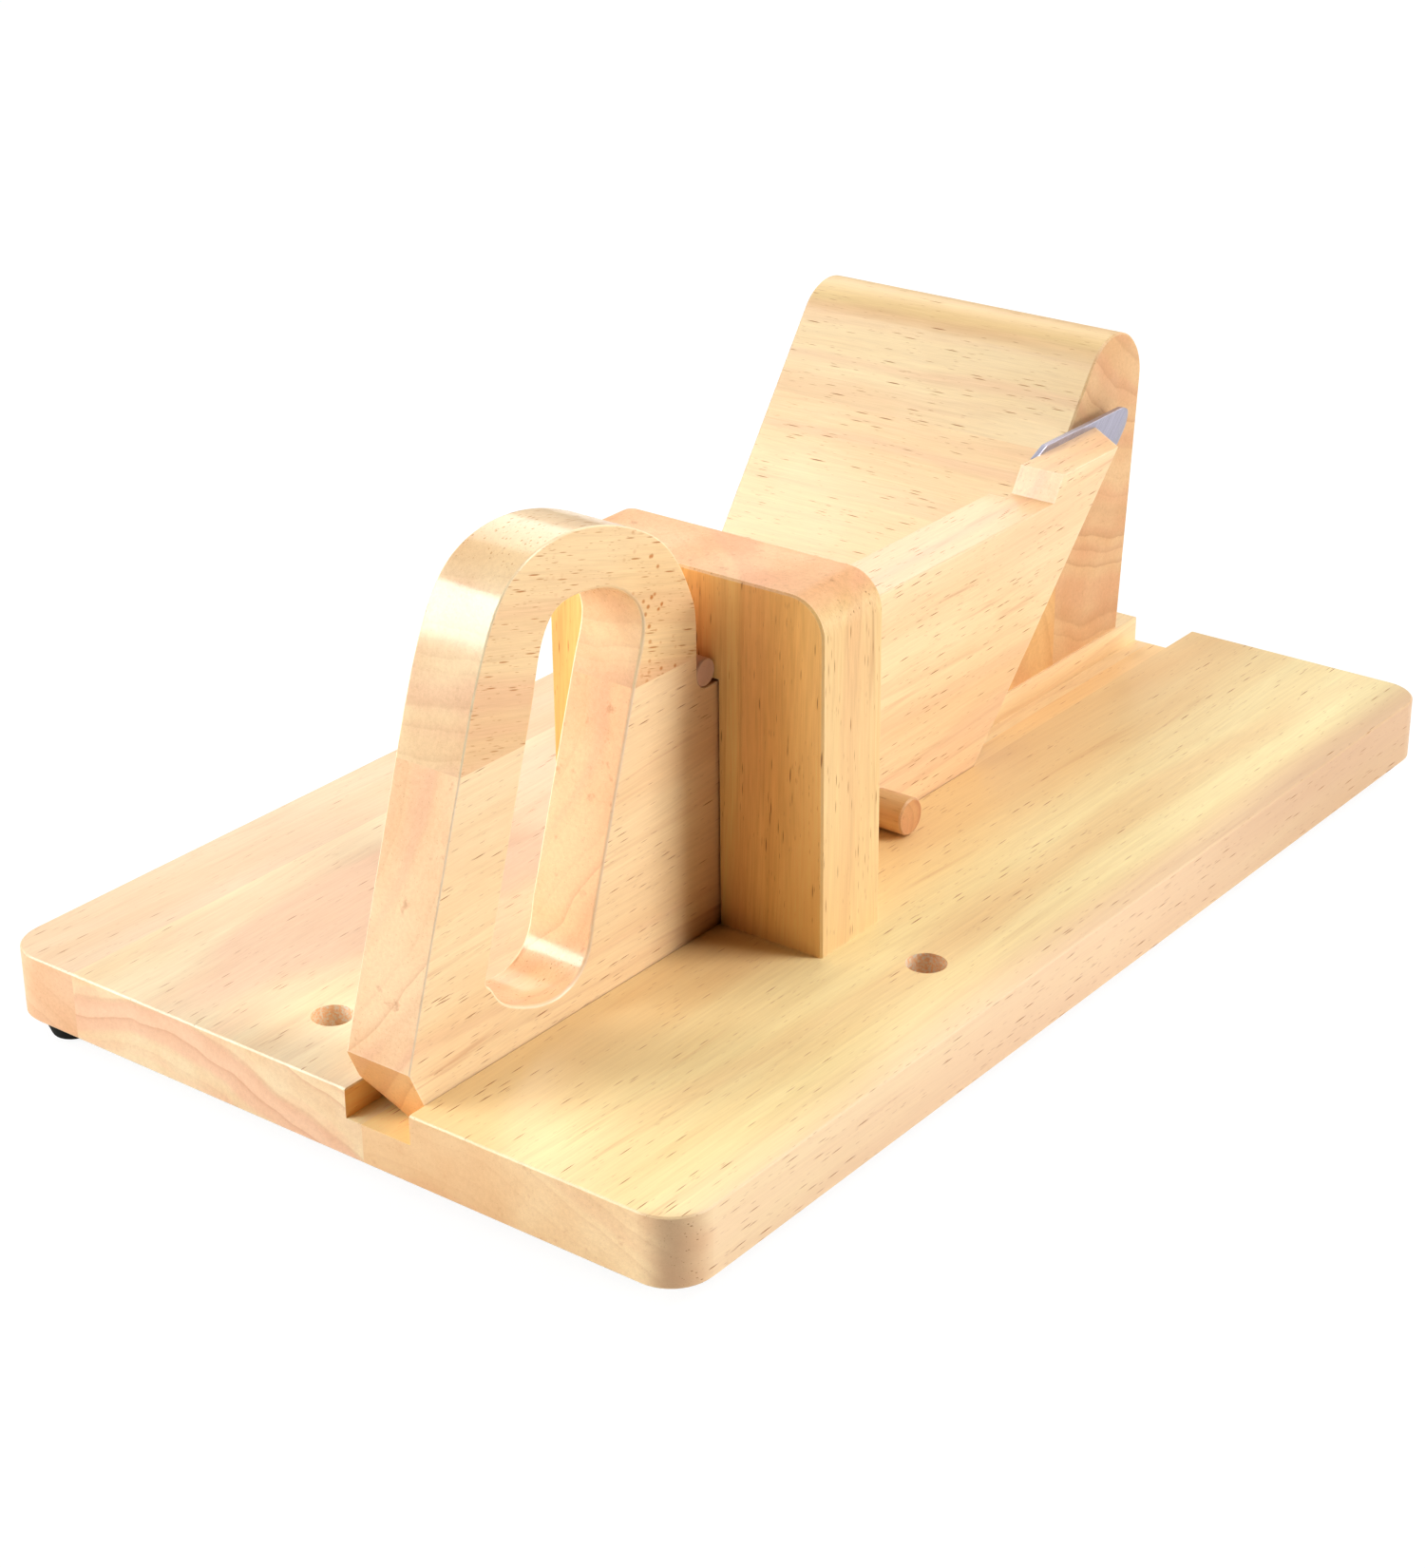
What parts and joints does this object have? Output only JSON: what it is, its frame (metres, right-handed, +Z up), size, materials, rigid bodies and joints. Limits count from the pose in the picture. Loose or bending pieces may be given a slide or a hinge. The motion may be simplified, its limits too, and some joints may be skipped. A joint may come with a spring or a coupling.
{
  "type": "push slicer",
  "caption": "Wooden bench slicer: grooved base, slotted guide block, slanted rear block and a sliding looped-handle arm carrying a 45-degree steel blade.",
  "frame": {"origin": "centre of the footprint, on the plane the rubber feet stand on", "axes": "+X to the user's right, +Y the push direction away from the user along the base, +Z up"},
  "size_m": [0.2434, 0.4, 0.1639],
  "materials": {
    "base_left_wood": "satin lacquered rubberwood",
    "base_centre_wood": "satin lacquered rubberwood",
    "base_right_wood": "satin lacquered rubberwood",
    "guide_wood": "satin lacquered rubberwood",
    "rear_front_wood": "satin lacquered rubberwood",
    "rear_back_wood": "satin lacquered rubberwood",
    "arm_wood": "satin lacquered rubberwood",
    "handle_wood": "satin lacquered rubberwood",
    "dowel_wood": "lacquered dowel",
    "blade_steel": "ground and polished stainless steel",
    "screw_steel": "zinc plated steel",
    "washer_steel": "zinc plated steel",
    "foot_rubber": "matt black rubber"
  },
  "bodies": {
    "base": {"base_left_board": "base_left_wood", "base_centre_board": "base_centre_wood", "base_right_board": "base_right_wood", "guide_block": "guide_wood", "guide_block_screws": "screw_steel", "rear_block_front_board": "rear_front_wood", "rear_block_back_board": "rear_back_wood", "rear_block_screws": "screw_steel", "rubber_feet": "foot_rubber", "feet_washers": "washer_steel", "feet_screws": "screw_steel"},
    "slider": {"arm_board": "arm_wood", "handle_top_board": "handle_wood", "stop_peg": "dowel_wood", "cross_pin": "dowel_wood", "blade": "blade_steel", "blade_screws": "screw_steel"}
  },
  "joints": [
    {"name": "arm_slide", "type": "slide", "parent": "base", "child": "slider", "axis": [0, -1, 0], "range_m": [0, 0.0452]}
  ]
}
